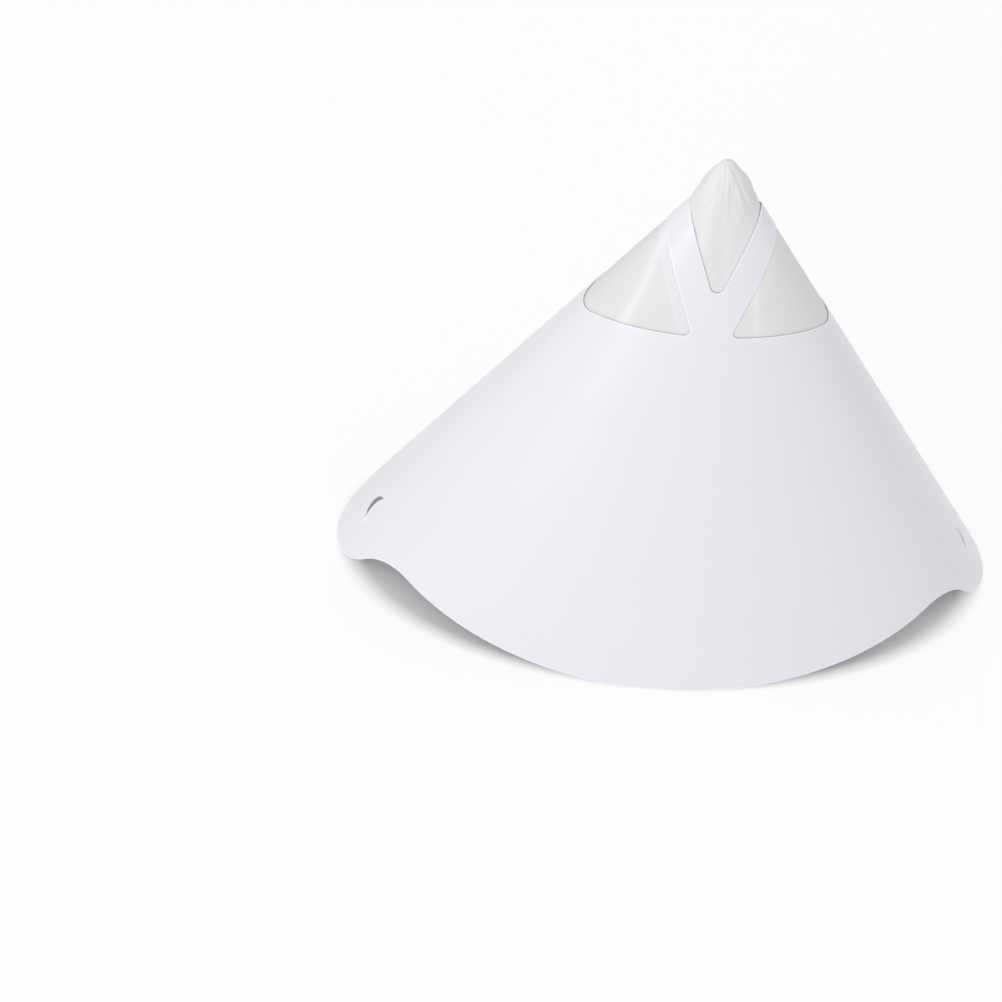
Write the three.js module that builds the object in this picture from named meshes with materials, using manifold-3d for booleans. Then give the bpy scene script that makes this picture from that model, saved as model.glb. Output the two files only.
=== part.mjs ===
// Cone paint strainer, standing on its rim with the mesh tip up.
// One die-cut card blank is rolled into a cone with two hanging ears and windows round its tip.
// A fine nylon mesh cone is bonded inside, behind the windows, and closes the tip.
import * as THREE from 'three';
import Module from 'manifold-3d';

// Driving dimensions in millimetres, angles in degrees
const panelAngle = 76; // flat angle of one panel at the tip, between its two fold lines
const foldTilt = 31; // cone axis to each fold line of the rolled cone
const cardThickness = 0.35;
const earRise = 18.4; // how far an ear stands out past the rim
const rimReach = 166.6; // tip of the blank to the rim between the ears
const earRadius = 17;
const earFillet = 18;
const tipVertex = 42.5; // tip of the blank to the sharp point of the tip window
const tipVertexRadius = 2;
const strapAngle = 20.5; // each strap to the middle line of its panel
const strapWidth = 7.8;
const strapPeakRadius = 5;
const windowEdge = 52; // tip of the blank to the straight lower edge of the side windows
const windowTopRadius = 3.5;
const windowInnerRadius = 1.7;
const windowOuterRadius = 8;
const slitSetback = 20; // end of an ear to the middle of its hanging slits
const slitInset = 4.4; // fold line to the ends of a hanging slit
const slitLength = 10;
const slitBow = 3.4;
const slitOpening = 2;
const lapAngle = 8; // flat angle over which the outer layer climbs on to the glued seam
const lapEdgeAngle = 0.04;
const meshReach = 76; // tip of the blank to the lower edge of the mesh
const meshThickness = 0.3;
const meshTipRadius = 1.2; // how far the soft mesh tip stays below a sharp point
const meshFreeReach = 7; // from the tip to where the free mesh starts to tuck in behind the straps
const strapCover = 2; // how far the mesh is fully tucked in before it meets a strap
const bondGap = 0.3; // clearance between the card and the mesh
const slitCutterReach = 3; // how far a slit cutter stands out on each side of the card

const columnStep = 1;
const meshColumnStep = 4;
const arcSegments = 24;
const deg = Math.PI / 180;
const halfPanel = panelAngle * deg / 2;
const earReach = rimReach + earRise;
const slitReach = earReach - slitSetback;

// Rolled form: the card follows a cone over an ellipse, so its folds are soft.
// A half turn runs from the front middle over a fold line to the seam at the back middle.
function halfTurn(midTilt) {
  const steps = 720;
  const turn = [{ angle: 0, sweep: 0 }];
  let last = coneDirection(0, midTilt);
  let sweep = 0;
  for (let i = 1; i <= steps; i += 1) {
    const angle = Math.PI * i / steps;
    const next = coneDirection(angle, midTilt);
    sweep += last.angleTo(next);
    turn.push({ angle, sweep });
    last = next;
  }
  return turn;
}

function coneDirection(angle, midTilt) {
  const x = Math.tan(foldTilt * deg) * Math.sin(angle);
  const y = -Math.tan(midTilt) * Math.cos(angle);
  return new THREE.Vector3(x, y, -1).normalize();
}

// The card does not stretch: the middle of each panel leans just enough to use up the flat angle
function solveMidTilt() {
  let low = 0;
  let high = foldTilt * deg * 1.5;
  for (let i = 0; i < 50; i += 1) {
    const middle = (low + high) / 2;
    const sweep = halfTurn(middle).at(-1).sweep;
    if (sweep < 2 * halfPanel) low = middle;
    else high = middle;
  }
  return (low + high) / 2;
}

const midTilt = solveMidTilt();
const turn = halfTurn(midTilt);

function ellipseAngle(flatAngle) {
  const sweep = Math.min(Math.abs(flatAngle), turn.at(-1).sweep);
  let i = 1;
  while (i < turn.length - 1 && turn[i].sweep < sweep) i += 1;
  const from = turn[i - 1];
  const to = turn[i];
  const share = (sweep - from.sweep) / (to.sweep - from.sweep);
  return Math.sign(flatAngle) * (from.angle + share * (to.angle - from.angle));
}

// A point of the flat blank, by its distance and angle at the tip, taken to the rolled cone
function roll(reach, flatAngle, lift) {
  const angle = ellipseAngle(flatAngle);
  const along = coneDirection(angle, midTilt);
  const step = 0.01;
  const ahead = coneDirection(angle + step, midTilt);
  const behind = coneDirection(angle - step, midTilt);
  const outward = new THREE.Vector3().crossVectors(ahead.sub(behind), along).normalize().negate();
  return along.multiplyScalar(reach).addScaledVector(outward, lift);
}

// Flat drawing of half a panel: x across from its middle line, y down from the tip
const foldDirection = Math.PI / 2 - halfPanel;
const strapSlope = strapAngle * deg;
const strapTop = tipVertex * Math.sin(strapSlope);
const strapBottom = strapTop + strapWidth;

function onFold(reach) {
  return new THREE.Vector2(Math.cos(foldDirection), Math.sin(foldDirection)).multiplyScalar(reach);
}

// Where a circle that touches a strap edge sits on the fold line
function strapCentreOnFold(edge, radius) {
  return onFold((edge + radius) / Math.sin(halfPanel + strapSlope));
}

function tipEdge() {
  const path = new THREE.Path();
  const vertexCentre = tipVertex - tipVertexRadius / Math.sin(strapSlope);
  path.absarc(0, vertexCentre, tipVertexRadius, Math.PI / 2, strapSlope, true);
  const peak = strapCentreOnFold(strapTop, strapPeakRadius);
  path.absarc(peak.x, peak.y, strapPeakRadius, strapSlope + Math.PI, foldDirection + Math.PI, false);
  return path.getPoints(arcSegments);
}

function sideWindow() {
  const path = new THREE.Path();
  const top = strapCentreOnFold(strapBottom, windowTopRadius);
  path.absarc(top.x, top.y, windowTopRadius, foldDirection + Math.PI, strapSlope + Math.PI, true);
  const innerY = windowEdge - windowInnerRadius;
  const innerX = (strapBottom + windowInnerRadius - innerY * Math.sin(strapSlope)) / Math.cos(strapSlope);
  path.absarc(innerX, innerY, windowInnerRadius, strapSlope + Math.PI, Math.PI / 2, true);
  const outer = onFold((windowEdge - windowOuterRadius) / Math.cos(halfPanel));
  path.absarc(outer.x, outer.y, windowOuterRadius, Math.PI / 2, foldDirection, true);
  return path.getPoints(arcSegments);
}

function rimEdge() {
  const path = new THREE.Path();
  const earCentreReach = earReach - earRadius;
  const filletReach = rimReach + earFillet;
  const apart = earRadius + earFillet;
  const cosine = (filletReach ** 2 + earCentreReach ** 2 - apart ** 2) / (2 * filletReach * earCentreReach);
  const filletDirection = foldDirection + Math.acos(cosine);
  const ear = onFold(earCentreReach);
  const fillet = new THREE.Vector2(Math.cos(filletDirection), Math.sin(filletDirection));
  fillet.multiplyScalar(filletReach);
  const toFillet = fillet.clone().sub(ear).angle();
  path.absarc(0, 0, rimReach, Math.PI / 2, filletDirection, true);
  path.absarc(fillet.x, fillet.y, earFillet, filletDirection + Math.PI, toFillet + Math.PI, false);
  path.absarc(ear.x, ear.y, earRadius, toFillet, foldDirection, true);
  return path.getPoints(arcSegments);
}

// How far from the tip a line at the given flat angle meets an outline, nearest and farthest
function reaches(outline, flatAngle) {
  const inside = THREE.MathUtils.clamp(flatAngle, 1e-6, halfPanel - 1e-6);
  const aside = (p) => p.x * Math.cos(inside) - p.y * Math.sin(inside);
  const found = [];
  for (let i = 1; i < outline.length; i += 1) {
    const from = aside(outline[i - 1]);
    const to = aside(outline[i]);
    if (from * to > 0 || from === to) continue;
    const crossing = outline[i - 1].clone().lerp(outline[i], from / (from - to));
    found.push(crossing.length());
  }
  return [Math.min(...found), Math.max(...found)];
}

// Card edges along one generator line: tip edge, both edges of the window, rim
const tipOutline = tipEdge();
const windowOutline = sideWindow();
const rimOutline = rimEdge();
const flatAngleOf = (p) => Math.atan2(p.x, p.y);
const windowStart = windowOutline.reduce((a, b) => (flatAngleOf(a) < flatAngleOf(b) ? a : b));
const windowStartAngle = flatAngleOf(windowStart);

function cardEdges(sideAngle) {
  const tip = reaches(tipOutline, sideAngle)[0];
  const rim = reaches(rimOutline, sideAngle)[1];
  const open = sideAngle > windowStartAngle + 1e-6;
  const cut = open ? reaches(windowOutline, sideAngle) : [windowStart.length(), windowStart.length()];
  return { edges: [tip, cut[0], cut[1], rim], open };
}

// Angles of the generator lines over half a panel, closer together at the window's inner corner
function sideAngles() {
  const angles = [windowStartAngle];
  for (const step of [0.12, 0.4, 0.8, 1.3]) angles.push(windowStartAngle + step * deg);
  const count = Math.round(halfPanel / (columnStep * deg));
  for (let i = 0; i <= count; i += 1) angles.push(halfPanel * i / count);
  return angles.sort((a, b) => a - b).filter((a, i, all) => i === 0 || a - all[i - 1] > 0.05 * deg);
}

// Generator lines all the way round, from the front middle to the right and back again
function cardColumns() {
  const half = sideAngles();
  const columns = [];
  const add = (flatAngle, sideAngle) => columns.push({ flatAngle, ...cardEdges(sideAngle) });
  for (const side of half) add(side, side);
  for (const side of half.slice(0, -1).reverse()) add(2 * halfPanel - side, side);
  for (const side of half) add(-2 * halfPanel + side + (side === 0 ? lapEdgeAngle * deg : 0), side);
  for (const side of half.slice(1, -1).reverse()) add(-side, side);
  return columns;
}

// The outer layer of the glued seam climbs one thickness and ends at its cut edge
function lapLift(flatAngle) {
  const start = 2 * halfPanel - lapAngle * deg;
  return cardThickness * THREE.MathUtils.smoothstep(flatAngle, start, 2 * halfPanel);
}

function cardGeometry() {
  const columns = cardColumns();
  const points = [];
  const faces = [];
  const addPoint = (p) => points.push(p.x, p.y, p.z) / 3 - 1;
  for (const column of columns) {
    const place = (lift) => {
      const rows = column.edges.map((reach) => addPoint(roll(reach, column.flatAngle, lift)));
      if (!column.open) rows[2] = rows[1];
      return rows;
    };
    column.outer = place(lapLift(column.flatAngle));
    column.inner = place(-cardThickness);
  }
  const quad = (a, b, c, d) => faces.push(a, b, c, a, c, d);
  columns.forEach((here, i) => {
    const next = columns[(i + 1) % columns.length];
    for (const row of [0, 2]) {
      quad(here.outer[row], here.outer[row + 1], next.outer[row + 1], next.outer[row]);
      quad(here.inner[row], next.inner[row], next.inner[row + 1], here.inner[row + 1]);
    }
    const edge = (row) => quad(here.outer[row], next.outer[row], next.inner[row], here.inner[row]);
    const backEdge = (row) => quad(here.outer[row], here.inner[row], next.inner[row], next.outer[row]);
    edge(0);
    backEdge(3);
    if (here.open || next.open) {
      backEdge(1);
      edge(2);
    }
  });
  return indexedGeometry(points, faces);
}

function indexedGeometry(points, faces) {
  const geometry = new THREE.BufferGeometry();
  geometry.setAttribute('position', new THREE.Float32BufferAttribute(points, 3));
  geometry.setIndex(faces);
  return geometry;
}

// Half-moon hanging slit in the front of an ear, bowed towards its fold line and rolled on to the card
function slitCutter(side) {
  const chord = new THREE.Shape();
  const arch = (bow) => (bow ** 2 + (slitLength / 2) ** 2) / (2 * bow);
  const bowArc = (bow, back) => {
    const radius = arch(bow);
    const spread = Math.asin(slitLength / 2 / radius);
    chord.absarc(bow - radius, 0, radius, back ? spread : -spread, back ? -spread : spread, back);
  };
  bowArc(slitBow, false);
  bowArc(slitBow - slitOpening, true);
  const depth = 2 * slitCutterReach;
  const flat = new THREE.ExtrudeGeometry(chord, { depth, bevelEnabled: false, curveSegments: 10 });
  const position = flat.getAttribute('position');
  for (let i = 0; i < position.count; i += 1) {
    const reach = slitReach + position.getY(i);
    const fromFold = (slitInset - position.getX(i)) / slitReach;
    const p = roll(reach, side * (halfPanel - fromFold), position.getZ(i) - slitCutterReach);
    position.setXYZ(i, p.x, p.y, p.z);
  }
  return flat;
}

// Joining and cutting of closed bodies
const wasm = await Module();
wasm.setup();

function toSolid(geometry, flip = false) {
  const position = geometry.getAttribute('position');
  const seen = new Map();
  const vertProperties = [];
  const order = [];
  for (let i = 0; i < position.count; i += 1) {
    const p = [position.getX(i), position.getY(i), position.getZ(i)];
    const key = p.map((v) => v.toFixed(4)).join();
    if (!seen.has(key)) {
      seen.set(key, seen.size);
      vertProperties.push(...p);
    }
    order.push(seen.get(key));
  }
  const index = geometry.index ? Array.from(geometry.index.array) : order.map((_, i) => i);
  const triVerts = index.map((i) => order[i]);
  if (flip) triVerts.reverse();
  const data = { numProp: 3, vertProperties: new Float32Array(vertProperties), triVerts: new Uint32Array(triVerts) };
  return new wasm.Manifold(new wasm.Mesh(data));
}

function fromSolid(solid) {
  const mesh = solid.getMesh();
  return indexedGeometry(Array.from(mesh.vertProperties), Array.from(mesh.triVerts));
}

function paperCone() {
  let card = toSolid(cardGeometry());
  for (const side of [-1, 1]) card = card.subtract(toSolid(slitCutter(side), side < 0));
  return fromSolid(card);
}

// Mesh cone: bonded inside the card, with a free soft tip that fills out to the line of the card
function meshGeometry() {
  const tucked = reaches(tipOutline, halfPanel)[0] - strapCover;
  const columns = Math.round(360 / meshColumnStep);
  const rows = [3, 5, meshFreeReach, 10, 13, tucked, 26, 38, 52, 64, meshReach];
  const points = [];
  const faces = [];
  const soft = (z) => -Math.hypot(z, meshTipRadius);
  const skin = (depth) => {
    const tip = points.push(0, 0, -meshTipRadius - depth / Math.sin(midTilt)) / 3 - 1;
    const rings = rows.map((reach) => {
      const tuck = (cardThickness + bondGap) * THREE.MathUtils.smoothstep(reach, meshFreeReach, tucked);
      const ring = [];
      for (let i = 0; i < columns; i += 1) {
        const share = 2 * i / columns - 1;
        const p = roll(reach, 2 * halfPanel * share, -tuck - depth);
        ring.push(points.push(p.x, p.y, soft(p.z)) / 3 - 1);
      }
      return ring;
    });
    return { tip, rings };
  };
  const outer = skin(0);
  const inner = skin(meshThickness);
  for (let i = 0; i < columns; i += 1) {
    const j = (i + 1) % columns;
    faces.push(outer.tip, outer.rings[0][i], outer.rings[0][j]);
    faces.push(inner.tip, inner.rings[0][j], inner.rings[0][i]);
    for (let k = 1; k < rows.length; k += 1) {
      const [a, b] = [outer.rings[k - 1], outer.rings[k]];
      faces.push(a[i], b[i], b[j], a[i], b[j], a[j]);
      const [c, d] = [inner.rings[k - 1], inner.rings[k]];
      faces.push(c[i], d[j], d[i], c[i], c[j], d[j]);
    }
    const [o, n] = [outer.rings.at(-1), inner.rings.at(-1)];
    faces.push(o[i], n[i], n[j], o[i], n[j], o[j]);
  }
  return indexedGeometry(points, faces);
}

// Assembly: both pieces hang from one tip point above the table
const card = new THREE.MeshStandardMaterial({ color: 0xf0eef4, roughness: 0.45, metalness: 0 });
const nylon = new THREE.MeshStandardMaterial({ color: 0xdddbd8, roughness: 0.7, metalness: 0 });
const rimDepth = rimReach * Math.cos(midTilt) + cardThickness * Math.sin(midTilt);
const earDepth = earReach * Math.cos(foldTilt * deg) + cardThickness * Math.sin(foldTilt * deg);
const tipHeight = Math.max(rimDepth, earDepth);

const paintStrainer = new THREE.Group();
const paper = new THREE.Mesh(paperCone(), card);
paper.name = 'paper_cone';
const mesh = new THREE.Mesh(meshGeometry(), nylon);
mesh.name = 'nylon_mesh';
for (const piece of [paper, mesh]) {
  piece.position.z = tipHeight;
  paintStrainer.add(piece);
}

export default paintStrainer;
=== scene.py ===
import math
import bpy
import numpy as np
from mathutils import Matrix, Vector, noise
from mathutils.geometry import delaunay_2d_cdt


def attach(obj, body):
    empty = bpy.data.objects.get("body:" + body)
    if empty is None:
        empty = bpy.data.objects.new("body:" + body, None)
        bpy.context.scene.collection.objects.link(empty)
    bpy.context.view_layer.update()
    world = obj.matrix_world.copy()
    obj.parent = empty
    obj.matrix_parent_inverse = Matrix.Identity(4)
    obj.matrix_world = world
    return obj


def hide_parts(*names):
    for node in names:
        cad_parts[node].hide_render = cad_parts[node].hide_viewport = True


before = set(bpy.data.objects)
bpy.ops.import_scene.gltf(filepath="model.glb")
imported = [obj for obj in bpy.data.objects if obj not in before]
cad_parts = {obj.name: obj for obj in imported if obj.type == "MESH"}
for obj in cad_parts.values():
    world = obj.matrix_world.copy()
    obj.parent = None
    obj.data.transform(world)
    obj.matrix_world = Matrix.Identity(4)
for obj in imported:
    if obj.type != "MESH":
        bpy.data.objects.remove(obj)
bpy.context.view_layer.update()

# Paper cone: one die-cut blank of smooth coated card, rolled into a cone with soft folds at its two ears.
# Windows are punched round the tip, and the blank's end is glued over its start down the back.
# The blank is drawn flat by distance and angle from the tip, divided into triangles, and then rolled.
card_thickness = 0.00035
inner_depth = 0.94 * card_thickness
panel_angle = math.radians(76)
fold_tilt = math.radians(31)
ear_reach, rim_reach = 0.185, 0.1666
ear_radius, ear_fillet = 0.017, 0.018
tip_vertex, tip_vertex_radius, strap_peak_radius = 0.0425, 0.002, 0.005
strap_slope, strap_width = math.radians(20.5), 0.0078
window_edge, window_top_radius = 0.052, 0.0035
window_inner_radius, window_outer_radius = 0.0017, 0.008
slit_reach, slit_inset, slit_length = 0.165, 0.0044, 0.010
slit_bow, slit_opening = 0.0034, 0.0020
flap_angle, lap_climb = math.radians(3.6), math.radians(4)
flap_end_setback, flap_root = 0.002, 0.002
flap_rim_setback = 0.001
cut_border = 0.00045
edge_step, shortest_edge = 0.0009, 0.00002
reach_step, angle_step = 0.0024, math.radians(0.55)
grid_start, grid_end, flap_clear = 0.010, 0.186, 0.004
sweep_steps, turn_probe, lift_probe = 1441, 0.01, 0.001
flat_span = 0.2
card_face_colour = (0.858, 0.847, 0.905)
# Colour of the paler line painted along the cut edges: partly the die's white burr, partly a painted
# highlight.
edge_burr_and_highlight_colour = (0.97, 0.965, 0.975)
card_core_colour = (0.93, 0.925, 0.935)
half_panel = panel_angle / 2
full_turn = 2 * panel_angle


def cone_direction(angle, mid_tilt):
    """Unit vector from the tip down the cone, whose section is an ellipse."""
    x = np.tan(fold_tilt) * np.sin(angle)
    y = -np.tan(mid_tilt) * np.cos(angle)
    way = np.stack([x, y, -np.ones_like(x)], -1)
    return way / np.linalg.norm(way, axis=-1, keepdims=True)


def sweep_table(mid_tilt):
    """Angles round the cone, and the flat angle of the blank that each of them uses up."""
    angles = np.linspace(0, math.pi, sweep_steps)
    ways = cone_direction(angles, mid_tilt)
    steps = 2 * np.arcsin(np.linalg.norm(np.diff(ways, axis=0), axis=1) / 2)
    return angles, np.concatenate([[0], np.cumsum(steps)])


# The cone opens just as far at the middles as the blank's angle allows.
low, high = 0.0, fold_tilt
for _ in range(40):
    mid_tilt = (low + high) / 2
    turn_angles, turn_sweeps = sweep_table(mid_tilt)
    low, high = (mid_tilt, high) if turn_sweeps[-1] < full_turn / 2 else (low, mid_tilt)

rim_depth = rim_reach * math.cos(mid_tilt) + card_thickness * math.sin(mid_tilt)
ear_depth = ear_reach * math.cos(fold_tilt) + card_thickness * math.sin(fold_tilt)
tip_height = max(rim_depth, ear_depth)


def roll(reach, flat_angle, lift=0.0):
    """Points of the flat blank, by distance and angle at the tip, on the rolled cone."""
    inside = np.mod(flat_angle + full_turn / 2, full_turn) - full_turn / 2
    angle = np.sign(inside) * np.interp(np.abs(inside), turn_sweeps, turn_angles)
    along = cone_direction(angle, mid_tilt)
    ahead = cone_direction(angle + turn_probe, mid_tilt) - cone_direction(angle - turn_probe, mid_tilt)
    outward = -np.cross(ahead, along)
    outward /= np.linalg.norm(outward, axis=-1, keepdims=True)
    place = along * np.asarray(reach)[..., None] + outward * np.asarray(lift)[..., None]
    return place + [0, 0, tip_height]


def arc(centre, radius, start, end, count=20):
    turn = np.linspace(start, end, count)
    return np.stack([centre[0] + radius * np.cos(turn), centre[1] + radius * np.sin(turn)], 1)


# Half a panel's tip edge, side window and rim, from the panel's middle line to its fold.
fold_direction = math.pi / 2 - half_panel
strap_top = tip_vertex * math.sin(strap_slope)
strap_bottom = strap_top + strap_width
on_fold = np.array([math.cos(fold_direction), math.sin(fold_direction)])
peak = on_fold * (strap_top + strap_peak_radius) / math.sin(half_panel + strap_slope)
vertex_centre = (0, tip_vertex - tip_vertex_radius / math.sin(strap_slope))
half_tip = np.concatenate([
    arc(vertex_centre, tip_vertex_radius, math.pi / 2, strap_slope),
    arc(peak, strap_peak_radius, strap_slope + math.pi, fold_direction + math.pi)])
window_top = on_fold * (strap_bottom + window_top_radius) / math.sin(half_panel + strap_slope)
corner_y = window_edge - window_inner_radius
corner_x = strap_bottom + window_inner_radius - corner_y * math.sin(strap_slope)
corner_x /= math.cos(strap_slope)
window_outer = on_fold * (window_edge - window_outer_radius) / math.cos(half_panel)
half_window = np.concatenate([
    arc(window_top, window_top_radius, fold_direction + math.pi, strap_slope + math.pi),
    arc((corner_x, corner_y), window_inner_radius, strap_slope + math.pi, math.pi / 2),
    arc(window_outer, window_outer_radius, math.pi / 2, fold_direction)])
fillet_reach = rim_reach + ear_fillet
ear_centre_reach = ear_reach - ear_radius
ear_centre = on_fold * ear_centre_reach
cosine = fillet_reach ** 2 + ear_centre_reach ** 2 - (ear_radius + ear_fillet) ** 2
fillet_direction = fold_direction + math.acos(cosine / (2 * fillet_reach * ear_centre_reach))
fillet_centre = fillet_reach * np.array([math.cos(fillet_direction), math.sin(fillet_direction)])
to_fillet = math.atan2(*(fillet_centre - ear_centre)[::-1])
half_rim = np.concatenate([
    arc((0, 0), rim_reach, math.pi / 2, fillet_direction, 50),
    arc(fillet_centre, ear_fillet, fillet_direction - math.pi, to_fillet - math.pi),
    arc(ear_centre, ear_radius, to_fillet, fold_direction)])


def polar(points):
    return np.hypot(*points.T), np.arctan2(points[:, 0], points[:, 1])


def flat(reach, angle):
    return np.stack([reach * np.sin(angle), reach * np.cos(angle)], -1)


def whole_edge(half):
    """Half a panel's edge, mirrored at the middle lines and the folds, across the whole blank."""
    reach, side = polar(half)
    quarters = [(side - panel_angle, 1), (-side, -1), (side, 1), (panel_angle - side, -1)]
    return np.concatenate([np.stack([reach, angle], 1)[::way] for angle, way in quarters])


def window_loops(half):
    """Half a window, closed by its mirror image at the fold, once at each fold."""
    reach, side = polar(half)
    mirrored = np.stack([reach, panel_angle - side], 1)[::-1][1:-1]
    loop = np.concatenate([np.stack([reach, side], 1), mirrored])
    return [loop * (1, way) for way in (-1, 1)]


def slit_loop(side):
    """Half-moon hanging slit in the front of an ear, bowed towards its fold."""
    sides = []
    for bow, way in ((slit_bow, 1), (slit_bow - slit_opening, -1)):
        radius = (bow ** 2 + (slit_length / 2) ** 2) / (2 * bow)
        spread = math.asin(slit_length / 2 / radius)
        sides.append(arc((bow - radius, 0), radius, -spread * way, spread * way, 14)[:-1])
    moon = np.concatenate(sides)
    away = (slit_inset - moon[:, 0]) / slit_reach
    return np.stack([slit_reach + moon[:, 1], side * (half_panel - away)], 1)


def inside_loop(points, loop):
    """Which points lie inside a closed loop, by counting the sides that each point's level crosses."""
    inside = np.zeros(len(points), bool)
    for a, b in zip(loop, np.roll(loop, -1, 0)):
        spans = (a[1] > points[:, 1]) != (b[1] > points[:, 1])
        with np.errstate(divide="ignore", invalid="ignore"):
            x = a[0] + (points[:, 1] - a[1]) * (b[0] - a[0]) / (b[1] - a[1])
        inside ^= spans & (points[:, 0] < x)
    return inside


flap_top, flap_bottom = tip_vertex + flap_end_setback, rim_reach - flap_rim_setback
flap_start, flap_end = -full_turn / 2 - flap_root, -full_turn / 2 - flap_angle
flap = [[flap_bottom, flap_start], [flap_bottom, flap_end], [flap_top, flap_end], [flap_top, flap_start]]
outline = np.concatenate([whole_edge(half_tip), whole_edge(half_rim)[::-1], flap])
holes = window_loops(half_window) + [slit_loop(-1), slit_loop(1)]
loops = [flat(*line.T) for line in [outline] + holes]


def on_card(points):
    """Which points of the flat blank are card."""
    card = inside_loop(points, loops[0])
    for hole in loops[1:]:
        card &= ~inside_loop(points, hole)
    return card


def from_cut(points, cuts):
    """How far each point is from the nearest cut edge."""
    return np.array([np.min(np.hypot(*(cuts - p).T)) for p in points])


# The cut edges, their long sides divided so that the rolled edge shows no chords.
cut_points, cut_lines = [], []
for loop in loops:
    first = len(cut_points)
    for before, after in zip(np.roll(loop, 1, 0), loop):
        length = np.hypot(*(after - before))
        if length > shortest_edge:
            parts = max(1, round(length / edge_step))
            cut_points += [before + (after - before) * (i + 1) / parts for i in range(parts)]
    total = len(cut_points) - first
    cut_lines += [(first + i, first + (i + 1) % total) for i in range(total)]

# A row of points follows each cut just inside the card, and a grid fills the rest.
cuts = np.array(cut_points)
starts, ends = cuts[np.array(cut_lines).T]
run = ends - starts
square_off = np.stack([run[:, 1], -run[:, 0]], 1) / np.linalg.norm(run, axis=1, keepdims=True)
middle = (starts + ends) / 2
border = np.concatenate([middle + cut_border * square_off, middle - cut_border * square_off])
border = border[on_card(border) & (from_cut(border, cuts) > 0.7 * cut_border)]
grid_reach, grid_angle = np.meshgrid(np.arange(grid_start, grid_end, reach_step),
                                     np.arange(flap_end + flap_clear, full_turn / 2, angle_step))
grid = flat(grid_reach.ravel(), grid_angle.ravel())
grid = grid[on_card(grid) & (from_cut(grid, cuts) > 2 * cut_border)]
cloud = [Vector(p) for p in np.concatenate([cuts, border, grid])]
vertices, _, triangles, *_ = delaunay_2d_cdt(cloud, cut_lines, [], 0, 1e-7)
flat_points = np.array(vertices)
triangles = np.array([list(t) for t in triangles])
triangles = triangles[on_card(flat_points[triangles].mean(1))]

# The lap's end climbs one thickness over the flap, and the card has an outer and an inner face.
card_reach, card_angle = polar(flat_points)
climb = np.clip((card_angle - (full_turn / 2 - flap_angle - lap_climb)) / lap_climb, 0, 1)
card_lift = card_thickness * climb * climb * (3 - 2 * climb)
outer = roll(card_reach, card_angle, card_lift)
inner = roll(card_reach, card_angle, card_lift - inner_depth)
count = len(flat_points)
sides = dict.fromkeys(side for a, b, c in triangles.tolist() for side in ((a, b), (b, c), (c, a)))
rims = [(a, b) for a, b in sides if (b, a) not in sides]
card_faces = [tuple(t[::-1]) for t in triangles] + [tuple(t + count) for t in triangles]
card_faces += [(a, b, b + count, a + count) for a, b in rims]
card_mesh = bpy.data.meshes.new("coated_card")
card_mesh.from_pydata(np.concatenate([outer, inner]).tolist(), [], card_faces)
card_mesh.uv_layers.new(name="blank")
for loop, corner in zip(card_mesh.loops, card_mesh.uv_layers["blank"].data):
    u, v = flat_points[loop.vertex_index % count]
    corner.uv = (u / flat_span + 0.5, v / flat_span)

# The faces shade as the true rolled surface, and the cut sides as plain flats.
face_total = 2 * len(triangles)
is_cut = [i >= face_total for i in range(len(card_faces))]
card_mesh.polygons.foreach_set("use_smooth", [not cut for cut in is_cut])
card_mesh.polygons.foreach_set("material_index", [int(cut) for cut in is_cut])
outward = roll(card_reach, card_angle, lift_probe) - roll(card_reach, card_angle)
outward /= np.linalg.norm(outward, axis=1, keepdims=True)
face_normals = np.concatenate([outward, -outward])
card_mesh.update()
card_mesh.normals_split_custom_set([
    (0, 0, 0) if is_cut[face.index] else tuple(face_normals[v])
    for face in card_mesh.polygons for v in face.vertices])
# Points on the cut edges carry the paler painted line: partly the die's white burr, partly a painted
# highlight.
burr_and_highlight_mark = card_mesh.attributes.new("cut", "FLOAT", "POINT")
burr_and_highlight_line = from_cut(flat_points, cuts) < 0.5 * cut_border
burr_and_highlight_mark.data.foreach_set("value", np.tile(burr_and_highlight_line, 2).astype(float))
paper_cone = bpy.data.objects.new("paper_cone_card", card_mesh)
bpy.context.scene.collection.objects.link(paper_cone)


class Socket:
    """One node socket, so that sums and products of surface values read as plain arithmetic."""

    def __init__(self, tree, socket):
        self.tree = tree
        self.socket = socket

    def __add__(self, other):
        return maths("ADD", self, other)

    def __sub__(self, other):
        return maths("SUBTRACT", self, other)

    def __rsub__(self, other):
        return maths("SUBTRACT", other, self)

    def __mul__(self, other):
        return maths("MULTIPLY", self, other)

    __radd__ = __add__
    __rmul__ = __mul__


def feed(tree, target, values):
    """Sets a node's sockets, named or numbered, to numbers, colours or links."""
    for name, value in values.items():
        if isinstance(value, Socket):
            tree.links.new(value.socket, target.inputs[name])
        else:
            target.inputs[name].default_value = value


def node(tree, kind, settings, values, output=0):
    """Adds one node: its settings first, then the values or links of its sockets."""
    made = tree.nodes.new(kind)
    for name, value in settings.items():
        setattr(made, name, value)
    feed(tree, made, values)
    return Socket(tree, made.outputs[output]) if made.outputs else None


def maths(operation, first, second):
    tree = first.tree if isinstance(first, Socket) else second.tree
    return node(tree, "ShaderNodeMath", {"operation": operation}, {0: first, 1: second})


def mix_colours(tree, share, first, second):
    """Mixes two colours. A Mix node's colours are its sockets 6 and 7, and its mixed colour is output 2."""
    first, second = [c if isinstance(c, Socket) else (*c, 1) for c in (first, second)]
    return node(tree, "ShaderNodeMix", {"data_type": "RGBA"}, {0: share, 6: first, 7: second}, 2)


def shaded(share, colour):
    return tuple(share * c for c in colour)


def noise_map(tree, place, scale, detail, roughness):
    return node(tree, "ShaderNodeTexNoise", {},
                {"Vector": place, "Scale": scale, "Detail": detail, "Roughness": roughness})


def start_material(name):
    material = bpy.data.materials.new(name)
    material.use_nodes = True
    tree = material.node_tree
    place = node(tree, "ShaderNodeTexCoord", {}, {}, "Object")
    return material, tree, tree.nodes["Principled BSDF"], place
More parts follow.
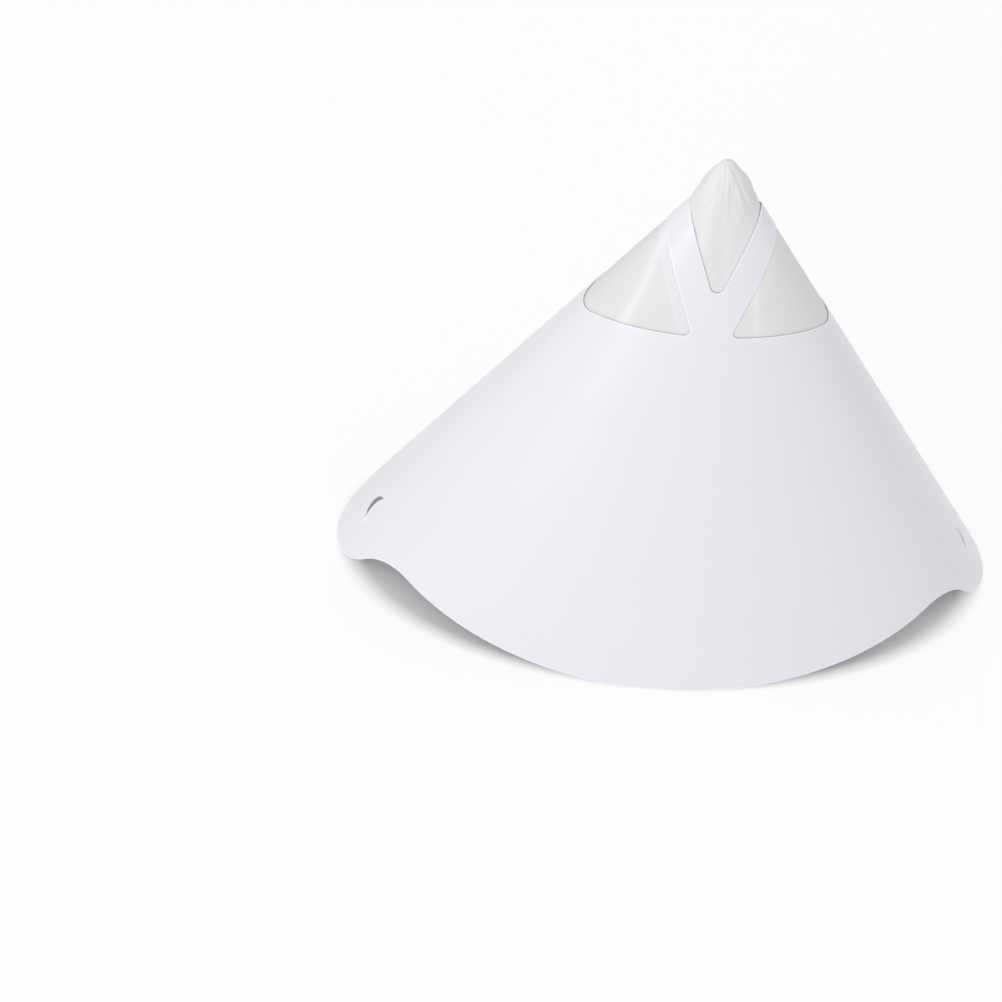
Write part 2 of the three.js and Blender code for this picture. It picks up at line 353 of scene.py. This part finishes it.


# The coated face is smooth and satin, and the paper under it shows as a faint cloudiness.
# Along the cut edges, where the die has pressed the card, a paler line is painted on the face: partly the
# white burr of the cut, partly a painted highlight where the coating catches the light.
card_face, tree, shader, place = start_material("coated card face")
cloud_map = noise_map(tree, place, 55.0, 4.0, 0.6)
fibre_map = noise_map(tree, place, 1800.0, 3.0, 0.65)
calender_map = noise_map(tree, place, 260.0, 2.0, 0.5)
# Mask of the paler line along the cut edges, partly burr and partly painted highlight.
cut = node(tree, "ShaderNodeAttribute", {"attribute_name": "cut"}, {}, "Fac")
tone = mix_colours(tree, cloud_map * 0.5 + fibre_map * 0.5,
                   shaded(0.965, card_face_colour), card_face_colour)
relief = node(tree, "ShaderNodeBump", {}, {"Strength": 0.06, "Distance": 0.0002,
                                           "Height": calender_map * 0.6 + fibre_map * 0.4})
feed(tree, shader, {"Base Color": mix_colours(tree, cut, tone, edge_burr_and_highlight_colour),
                    "Roughness": 0.31 + cloud_map * 0.08, "Normal": relief,
                    "Specular IOR Level": 0.5, "Coat Weight": 0.12, "Coat Roughness": 0.25})

# The raw core shows only where the die has cut the card.
card_core, tree, shader, place = start_material("cut card core")
fibres = noise_map(tree, place, 2600.0, 3.0, 0.7)
tone = mix_colours(tree, fibres, shaded(0.93, card_core_colour), card_core_colour)
relief = node(tree, "ShaderNodeBump", {}, {"Strength": 0.3, "Distance": 0.0001, "Height": fibres})
feed(tree, shader, {"Base Color": tone, "Roughness": 0.85, "Normal": relief})
card_mesh.materials.append(card_face)
card_mesh.materials.append(card_core)
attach(paper_cone, "root")
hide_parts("paper_cone")

# Strainer mesh: a disc sector of fine woven nylon, gathered into a soft cone and bonded behind the windows.
# It is limp, so it lies in shallow pleats that run down from the tip, where it is puckered and leans over.
# Where it is glued along the straps, the bonded margin shows as a paler strip.
mesh_reach = 0.076
mesh_tip_radius = 0.0018
mesh_gap = 0.00015
window_fill, pleat_rise, shiver_rise = 0.00030, 0.00012, 0.00010
fill_run, free_run = 0.0022, 0.007
tuck_start, tuck_run = 0.007, 0.009
tip_swell, swell_reach, swell_share = 0.0008, 0.022, 0.30
crumple_rise, crumple_reach, crumple_run = 0.0002, 0.036, 0.02
lean, lean_reach = (-0.0016, 0.0, 0.0012), 0.024
pleat_start_fade, pleat_end_fade = 0.004, 0.006
glue_margin, strip_softness = 0.0017, 0.0001
thread_spacing = 0.0009
mesh_colour = (0.875, 0.862, 0.868)
glue_colour = (0.885, 0.875, 0.93)
# Pale colour painted along the pleats, partly doubled mesh in a fold and partly a painted highlight, and
# along the inner edge of the glued margin.
pale_streak_colour = (0.915, 0.912, 0.925)
pleats = (
    (0.85, 0.0014, [(0.022, -34.5), (0.0285, -32), (0.0435, -26), (0.055, -24.8), (0.070, -24)]),
    (0.5, 0.0016, [(0.004, -24), (0.006, -25.5), (0.010, -18.8), (0.0215, -13.2), (0.030, -11)]),
    (0.3, 0.0012, [(0.005, 2), (0.012, 4), (0.020, 5), (0.034, 3)]),
    (0.6, 0.0014, [(0.036, 16), (0.042, 14.8), (0.054, 13.5), (0.070, 13)]),
    (0.7, 0.0011, [(0.020, 52), (0.040, 50), (0.060, 54), (0.074, 55)]),
    (0.4, 0.0014, [(0.006, 66), (0.020, 69), (0.045, 71)]),
    (0.7, 0.0011, [(0.018, -50), (0.040, -55), (0.066, -52)]),
    (0.4, 0.0014, [(0.008, -62), (0.026, -66), (0.050, -64)]),
)


def crease(reach, angle, line, width):
    """How strongly a pleat that follows a line of (reach, degrees) shows at each point, from 0 to 1."""
    reaches, degrees = np.array(line).T
    away = (angle - np.radians(np.interp(reach, reaches, degrees))) * reach
    fade_in = np.clip((reach - reaches[0]) / pleat_start_fade + 1, 0, 1)
    fade_out = np.clip((reaches[-1] - reach) / pleat_end_fade + 1, 0, 1)
    return fade_in * fade_out * np.exp(-(away / width) ** 2)


tip_rows, first_row, row_step = [0.0006, 0.0014, 0.0026, 0.004], 0.0055, 0.0010
rows = np.concatenate([tip_rows, np.arange(first_row, mesh_reach, row_step), [mesh_reach]])
step_degrees = 0.4
turn_step = math.radians(step_degrees)
turns = np.radians(np.arange(-76, 76, step_degrees))
columns = len(turns)
net_reach, net_angle = np.meshgrid(rows, turns, indexing="ij")


def crinkles(rate_around, rate_down):
    """Smooth noise from -1 to 1 over the sheet, the same on each run, which joins up at the back."""
    around = net_angle * 2 * math.pi / full_turn
    values = [noise.noise(Vector((math.cos(a) * rate_around, math.sin(a) * rate_around, r * rate_down)))
              for r, a in zip(net_reach.ravel(), around.ravel())]
    return np.array(values).reshape(net_reach.shape)


puff = sum(strength * crease(net_reach, net_angle, line, width) for strength, width, line in pleats)
puff = np.clip(puff, 0, 1)
net_flat = flat(net_reach, net_angle).reshape(-1, 2)
from_edge = from_cut(net_flat, cuts[np.hypot(*cuts.T) < 0.08]).reshape(net_reach.shape)
in_window = ~on_card(net_flat).reshape(net_reach.shape)
bulge = np.clip(from_edge / fill_run, 0, 1) * in_window
free = np.clip(from_edge / free_run, 0, 1)
tuck = np.clip((net_reach - tuck_start) / tuck_run, 0, 1)
crumple = crinkles(3.5, 220)
swell = tip_swell * np.sin(math.pi * np.clip(net_reach / swell_reach, 0, 1)) ** 0.8 * free
depth = (card_thickness + mesh_gap) * tuck
depth -= bulge * (window_fill + pleat_rise * puff + shiver_rise * crinkles(2.2, 30)) * tuck
depth -= swell * (1 + swell_share * crumple)
depth -= crumple_rise * crumple * np.clip((crumple_reach - net_reach) / crumple_run, 0, 1) * free
net = roll(net_reach.ravel(), net_angle.ravel(), -depth.ravel()).reshape(*net_reach.shape, 3)
net[..., 2] = tip_height - np.hypot(tip_height - net[..., 2], mesh_tip_radius)
net += (np.clip(1 - net_reach / lean_reach, 0, 1) ** 1.4)[..., None] * lean
points = net.reshape(-1, 3).tolist() + [[lean[0], lean[1], tip_height - mesh_tip_radius + lean[2]]]

# The sheet closes on itself at the back, and its weave runs straight across the flat sector.
net_faces, corners = [], []
for i in range(len(rows) - 1):
    for j in range(columns):
        k = (j + 1) % columns
        net_faces.append((i * columns + j, (i + 1) * columns + j, (i + 1) * columns + k, i * columns + k))
        corners += [(rows[i], turns[j]), (rows[i + 1], turns[j]),
                    (rows[i + 1], turns[j] + turn_step), (rows[i], turns[j] + turn_step)]
for j in range(columns):
    net_faces.append((len(points) - 1, j, (j + 1) % columns))
    corners += [(0, turns[j]), (rows[0], turns[j]), (rows[0], turns[j] + turn_step)]
nylon = bpy.data.meshes.new("strainer_nylon")
nylon.from_pydata(points, [], net_faces)
corner_uv = flat(*np.array(corners).T) / flat_span + (0.5, 0)
nylon.uv_layers.new(name="weave").data.foreach_set("uv", corner_uv.ravel())
# Each point's pleat strength, which also places the pale painted streaks: partly doubled mesh, partly
# painted highlight.
fold_mark = nylon.attributes.new("pleat_and_highlight", "FLOAT", "POINT")
fold_mark.data.foreach_set("value", np.append(puff, 0.3))
folded = half_panel - np.abs(np.abs(net_angle) - half_panel)
strap_line = nylon.attributes.new("strap_line", "FLOAT", "POINT")
strap_line.data.foreach_set("value", np.append(net_reach * np.sin(folded + strap_slope), 0))
nylon.polygons.foreach_set("use_smooth", [True] * len(net_faces))
nylon.update()
strainer_mesh = bpy.data.objects.new("strainer_mesh_nylon", nylon)
bpy.context.scene.collection.objects.link(strainer_mesh)

# Threads cross over and under each other; single threads run thicker and thinner along their length.
nylon_weave, tree, shader, place = start_material("woven nylon mesh")
uv = node(tree, "ShaderNodeUVMap", {"uv_map": "weave"}, {})
wave_scale = flat_span / thread_spacing * math.pi / 10
threads = [node(tree, "ShaderNodeTexWave",
                {"wave_type": "BANDS", "bands_direction": way, "wave_profile": "SIN"},
                {"Vector": uv, "Scale": wave_scale, "Distortion": 0.0}, "Fac") for way in ("X", "Y")]
weave = threads[0] * 0.5 + threads[1] * 0.5
haze = noise_map(tree, place, 90.0, 3.0, 0.55)
squeeze = node(tree, "ShaderNodeVectorMath", {"operation": "MULTIPLY"}, {0: uv, 1: (6.0, 150.0, 1.0)})
slub = noise_map(tree, squeeze, 1.0, 3.0, 0.6)
pleat_and_highlight = node(tree, "ShaderNodeAttribute", {"attribute_name": "pleat_and_highlight"}, {}, "Fac")
from_tip_line = node(tree, "ShaderNodeAttribute", {"attribute_name": "strap_line"}, {}, "Fac")
across = node(tree, "ShaderNodeSeparateXYZ", {}, {0: uv}, "X")
left_half = maths("LESS_THAN", across, 0.5)


def strip(start, end, side):
    """A soft-edged strip between two lines that run along the straps, on one side of the middle."""
    rise, fall = [node(tree, "ShaderNodeMapRange", {},
                       {"Value": from_tip_line, "From Min": line - strip_softness,
                        "From Max": line + strip_softness})
                  for line in (start, end)]
    return rise * (1 - fall) * side


glue = strip(strap_top - glue_margin, strap_top, 1 - left_half)
glue = glue + strip(strap_bottom, strap_bottom + glue_margin * 1.9, left_half)
glue_edge = strip(strap_bottom + glue_margin * 0.55, strap_bottom + glue_margin * 0.7, left_half)
tone = mix_colours(tree, weave * 0.3 + haze * 0.35 + slub * 0.35, shaded(0.93, mesh_colour), mesh_colour)
# The pleats are painted paler: partly the doubled mesh in a fold, partly a painted highlight along the
# folds.
tone = mix_colours(tree, pleat_and_highlight * 0.7, tone, pale_streak_colour)
tone = mix_colours(tree, glue * 0.85, tone, glue_colour)
tone = mix_colours(tree, glue_edge * 0.8, tone, pale_streak_colour)
relief = node(tree, "ShaderNodeBump", {}, {"Strength": 0.25, "Distance": 0.0001, "Height": weave})
feed(tree, shader, {"Base Color": tone, "Roughness": 0.62 - pleat_and_highlight * 0.12, "Normal": relief,
                    "Alpha": 0.94 + pleat_and_highlight * 0.06, "Sheen Weight": 0.15, "Sheen Roughness": 0.4})
nylon.materials.append(nylon_weave)
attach(strainer_mesh, "root")
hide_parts("nylon_mesh")

# Table: a plain white board under the strainer, far larger than the picture.
# The camera sees it as white, it keeps the strainer's soft shadow, and it doesn't glow inside the cone.
table_half = 3.0
table_colour = (0.97, 0.97, 0.975)
table_glow = 0.88
footprint = (0.0945, 0.0500)
table_mesh = bpy.data.meshes.new("table_top")
table_corners = [(x * table_half, y * table_half, 0) for x, y in ((-1, -1), (1, -1), (1, 1), (-1, 1))]
table_mesh.from_pydata(table_corners, [], [(0, 1, 2, 3)])
table_top = bpy.data.objects.new("table_top", table_mesh)
bpy.context.scene.collection.objects.link(table_top)


def seen_rays(tree):
    """1 for rays that see the background, straight or in a gloss, and 0 for those that light the object."""
    looks, gloss, clear = [node(tree, "ShaderNodeLightPath", {}, {}, f"Is {kind} Ray")
                           for kind in ("Camera", "Glossy", "Transmission")]
    return maths("MAXIMUM", maths("MAXIMUM", looks, gloss), clear)


table_white, tree, shader, place = start_material("white table")
grain = node(tree, "ShaderNodeTexNoise", {}, {"Vector": place, "Scale": 40.0, "Detail": 2.0})
feed(tree, shader, {"Base Color": mix_colours(tree, grain, shaded(0.985, table_colour), table_colour),
                    "Roughness": 0.9})
in_footprint = node(tree, "ShaderNodeVectorMath", {"operation": "MULTIPLY"},
                    {0: place, 1: (1 / footprint[0], 1 / footprint[1], 0.0)})
apart = node(tree, "ShaderNodeVectorMath", {"operation": "LENGTH"}, {0: in_footprint}, "Value")
open_board = node(tree, "ShaderNodeMapRange", {}, {"Value": apart, "From Min": 0.94, "From Max": 1.02})
board = Socket(tree, shader.outputs[0])
glow = node(tree, "ShaderNodeEmission", {}, {"Color": (1, 1, 1, 1), "Strength": 1.0})
both = node(tree, "ShaderNodeMixShader", {},
            {0: seen_rays(tree) * open_board * table_glow, 1: board, 2: glow})
feed(tree, tree.nodes["Material Output"], {"Surface": both})
table_mesh.materials.append(table_white)

# Light: a bright even room, with a large soft lamp high on the left that leaves a satin band on the card,
# and a small one low at the front left that lifts the card's lower part.
room_strength = 0.755
lamp_aim = Vector((0, 0, 0.08))
world = bpy.data.worlds.new("white room")
bpy.context.scene.world = world
world.use_nodes = True
tree = world.node_tree
tree.nodes.clear()
strength = seen_rays(tree) * (1 - room_strength) + room_strength
room = node(tree, "ShaderNodeBackground", {}, {"Color": (1, 1, 1, 1), "Strength": strength})
node(tree, "ShaderNodeOutputWorld", {}, {"Surface": room})


def soft_lamp(name, azimuth, height, distance, width, power):
    """A square area lamp that faces lamp_aim; azimuth 0 is the front, and -90 the left."""
    a, e = math.radians(azimuth), math.radians(height)
    way = Vector((math.sin(a) * math.cos(e), -math.cos(a) * math.cos(e), math.sin(e)))
    lamp = bpy.data.lights.new(name, "AREA")
    lamp.shape = "SQUARE"
    lamp.size = width
    lamp.energy = power
    holder = bpy.data.objects.new(name, lamp)
    holder.location = lamp_aim + way * distance
    holder.rotation_euler = way.to_track_quat("Z", "Y").to_euler()
    bpy.context.scene.collection.objects.link(holder)


soft_lamp("left_soft_lamp", -46, 42, 1.6, 1.1, 3.5)
soft_lamp("front_low_lamp", -36, 5, 1.2, 0.25, 1.8)

# Camera: looks down on the strainer from a little left of its front, as in the photograph.
# The strainer leans slightly in the picture, so the camera is rolled.
sensor_width, frame_pixels, focal_pixels = 36, 1002, 2807.6
camera = bpy.data.cameras.new("camera")
camera.sensor_width = sensor_width
camera.lens = sensor_width * focal_pixels / frame_pixels
camera.clip_start = 0.01
viewer = bpy.data.objects.new("camera", camera)
right = Vector((0.99747, 0.01229, 0.06999))
up = Vector((-0.05367, 0.77589, 0.62858))
turned = Matrix((right, up, right.cross(up))).transposed().to_4x4()
viewer.matrix_world = Matrix.Translation((-0.08611, -0.50957, 0.64403)) @ turned
bpy.context.scene.collection.objects.link(viewer)
bpy.context.scene.camera = viewer
bpy.context.scene.view_settings.view_transform = "Standard"
